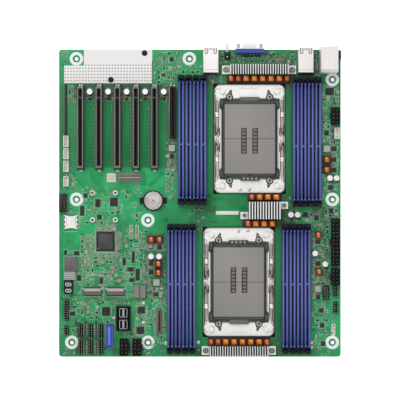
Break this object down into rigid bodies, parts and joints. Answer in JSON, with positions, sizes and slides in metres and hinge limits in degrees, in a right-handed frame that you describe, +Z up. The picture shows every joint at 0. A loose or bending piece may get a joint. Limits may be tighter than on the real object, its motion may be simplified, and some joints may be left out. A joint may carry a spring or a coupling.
{
  "type": "dual socket motherboard",
  "caption": "Large server circuit board with two covered processor sockets, banks of memory sockets, expansion slots, regulator heat sinks and rear ports.",
  "frame": {"origin": "middle of the bounding box, at the underside of the processor socket backplates", "axes": "+Z up from the board's component face, +Y towards the rear edge with the ports, +X to the right, towards the power connectors"},
  "size_m": [0.31, 0.3448, 0.034],
  "materials": {
    "board": "satin lacquer over glass fibre board",
    "white_film": "matt",
    "black_plastic": "matt",
    "steel": "satin plated",
    "shell_steel": "satin plated",
    "dimm_plastic": "satin",
    "bolster_steel": "fine blasted",
    "cover_plastic": "matt",
    "backplate_steel": "dark plated",
    "aluminium": "satin",
    "pad": "matt",
    "ferrite": "matt",
    "copper": "bare copper",
    "grey_ferrite": "matt",
    "can": "satin",
    "blue_plastic": "gloss",
    "clear_plastic": "gloss",
    "cream_plastic": "satin",
    "gold": "gold plated",
    "grey_plastic": "matt",
    "mould": "matt",
    "cell_steel": "satin",
    "port_steel": "satin plated"
  },
  "bodies": {
    "board": {"battery_holder": "black_plastic", "bolster_fasteners": "steel", "bolster_plate_1": "bolster_steel", "bolster_plate_2": "bolster_steel", "bolster_springs": "steel", "button_body": "black_plastic", "cable_port": "black_plastic", "capacitor_bases": "black_plastic", "capacitor_cans": "can", "card_socket": "port_steel", "chips": "mould", "choke_coils": "copper", "choke_cores": "ferrite", "circuit_board": "board", "contact_pins": "gold", "cpu_backplates": "backplate_steel", "cpu_socket_1": "black_plastic", "cpu_socket_2": "black_plastic", "digit_display": "mould", "dimm_sockets_a": "dimm_plastic", "dimm_sockets_b": "dimm_plastic", "dimm_sockets_c": "dimm_plastic", "dimm_sockets_d": "dimm_plastic", "fan_headers": "cream_plastic", "front_heat_sink": "aluminium", "grey_inductors": "grey_ferrite", "grey_modules": "grey_plastic", "heat_sink_screws": "steel", "insulator_rivets": "black_plastic", "lan_ports": "port_steel", "m2_sockets": "black_plastic", "m2_standoffs": "steel", "middle_heat_sink": "aluminium", "pin_header_bases": "black_plastic", "port_stack": "port_steel", "port_tongues": "black_plastic", "power_headers": "black_plastic", "power_stages": "mould", "rear_heat_sink": "aluminium", "slim_connectors": "grey_plastic", "slot_housings": "black_plastic", "slot_insulator": "white_film", "slot_shells": "shell_steel", "thermal_pads": "pad", "usb_header": "blue_plastic", "vga_body": "blue_plastic", "vga_screws": "steel", "vga_shell": "port_steel"},
    "dimm_latches_a_rear": {"dimm_latches_a_rear": "black_plastic"},
    "dimm_latches_a_front": {"dimm_latches_a_front": "black_plastic"},
    "dimm_latches_b_rear": {"dimm_latches_b_rear": "black_plastic"},
    "dimm_latches_b_front": {"dimm_latches_b_front": "black_plastic"},
    "dimm_latches_c_rear": {"dimm_latches_c_rear": "black_plastic"},
    "dimm_latches_c_front": {"dimm_latches_c_front": "black_plastic"},
    "dimm_latches_d_rear": {"dimm_latches_d_rear": "black_plastic"},
    "dimm_latches_d_front": {"dimm_latches_d_front": "black_plastic"},
    "socket_cover_1": {"socket_cover_1": "cover_plastic"},
    "socket_cover_2": {"socket_cover_2": "cover_plastic"},
    "coin_cell": {"coin_cell": "cell_steel"},
    "button_plunger": {"button_plunger": "clear_plastic"}
  },
  "joints": [
    {"name": "latch_a_rear", "type": "hinge", "parent": "board", "child": "dimm_latches_a_rear", "pos_m": [-0.00835, 0.13435, 0.0144], "axis": [-1, 0, 0], "range_deg": [0, 20]},
    {"name": "latch_a_front", "type": "hinge", "parent": "board", "child": "dimm_latches_a_front", "pos_m": [-0.00835, -0.00265, 0.0144], "axis": [1, 0, 0], "range_deg": [0, 20]},
    {"name": "latch_b_rear", "type": "hinge", "parent": "board", "child": "dimm_latches_b_rear", "pos_m": [0.11775, 0.13215, 0.0144], "axis": [-1, 0, 0], "range_deg": [0, 20]},
    {"name": "latch_b_front", "type": "hinge", "parent": "board", "child": "dimm_latches_b_front", "pos_m": [0.11775, -0.00485, 0.0144], "axis": [1, 0, 0], "range_deg": [0, 20]},
    {"name": "latch_c_rear", "type": "hinge", "parent": "board", "child": "dimm_latches_c_rear", "pos_m": [-0.02025, -0.02865, 0.0144], "axis": [-1, 0, 0], "range_deg": [0, 20]},
    {"name": "latch_c_front", "type": "hinge", "parent": "board", "child": "dimm_latches_c_front", "pos_m": [-0.02025, -0.16565, 0.0144], "axis": [1, 0, 0], "range_deg": [0, 20]},
    {"name": "latch_d_rear", "type": "hinge", "parent": "board", "child": "dimm_latches_d_rear", "pos_m": [0.10585, -0.02865, 0.0144], "axis": [-1, 0, 0], "range_deg": [0, 20]},
    {"name": "latch_d_front", "type": "hinge", "parent": "board", "child": "dimm_latches_d_front", "pos_m": [0.10585, -0.16565, 0.0144], "axis": [1, 0, 0], "range_deg": [0, 20]},
    {"name": "cover_1_lift", "type": "slide", "parent": "board", "child": "socket_cover_1", "axis": [0, 0, 1], "range_m": [0, 0.03]},
    {"name": "cover_2_lift", "type": "slide", "parent": "board", "child": "socket_cover_2", "axis": [0, 0, 1], "range_m": [0, 0.03]},
    {"name": "coin_cell_lift", "type": "slide", "parent": "board", "child": "coin_cell", "axis": [0, 0, 1], "range_m": [0, 0.012]},
    {"name": "button_press", "type": "slide", "parent": "board", "child": "button_plunger", "axis": [0, -1, 0], "range_m": [0, 0.0005], "stiffness_N_per_m": 400}
  ]
}
